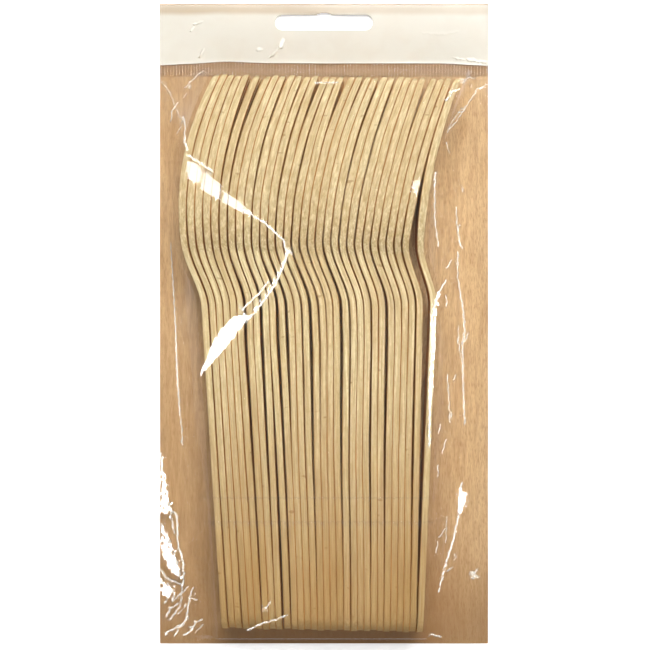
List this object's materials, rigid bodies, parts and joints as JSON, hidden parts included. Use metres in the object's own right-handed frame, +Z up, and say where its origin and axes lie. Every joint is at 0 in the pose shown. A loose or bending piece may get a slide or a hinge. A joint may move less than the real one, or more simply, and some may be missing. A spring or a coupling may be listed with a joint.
{
  "type": "wooden cutlery pack",
  "caption": "Flat retail pack of bent wooden forks stacked on edge between a printed wood-look back and a clear film front, with a folded header strip and hang slot.",
  "frame": {"origin": "middle of the pack's back, on the surface it lies on", "axes": "+X across the pack, +Y from the handle ends towards the header, +Z up out of the clear front"},
  "size_m": [0.1, 0.195, 0.0283],
  "materials": {
    "wood_print": "film printed with a brown wood grain",
    "clear_film": "thin clear glossy film with creases",
    "header_film": "plain cream film, softly glossy",
    "fork_wood": "bare pale wood with fine lengthwise grain"
  },
  "bodies": {
    "root": {"back_panel": "wood_print", "front_film": "clear_film", "header": "header_film", "fork_01": "fork_wood", "fork_02": "fork_wood", "fork_03": "fork_wood", "fork_04": "fork_wood", "fork_05": "fork_wood", "fork_06": "fork_wood", "fork_07": "fork_wood", "fork_08": "fork_wood", "fork_09": "fork_wood", "fork_10": "fork_wood", "fork_11": "fork_wood", "fork_12": "fork_wood", "fork_13": "fork_wood", "fork_14": "fork_wood", "fork_15": "fork_wood", "fork_16": "fork_wood", "fork_17": "fork_wood", "fork_18": "fork_wood", "fork_19": "fork_wood", "fork_20": "fork_wood", "fork_21": "fork_wood", "fork_22": "fork_wood", "fork_23": "fork_wood", "fork_24": "fork_wood", "fork_25": "fork_wood", "fork_26": "fork_wood", "fork_27": "fork_wood", "fork_28": "fork_wood", "fork_29": "fork_wood", "fork_30": "fork_wood"}
  },
  "joints": []
}
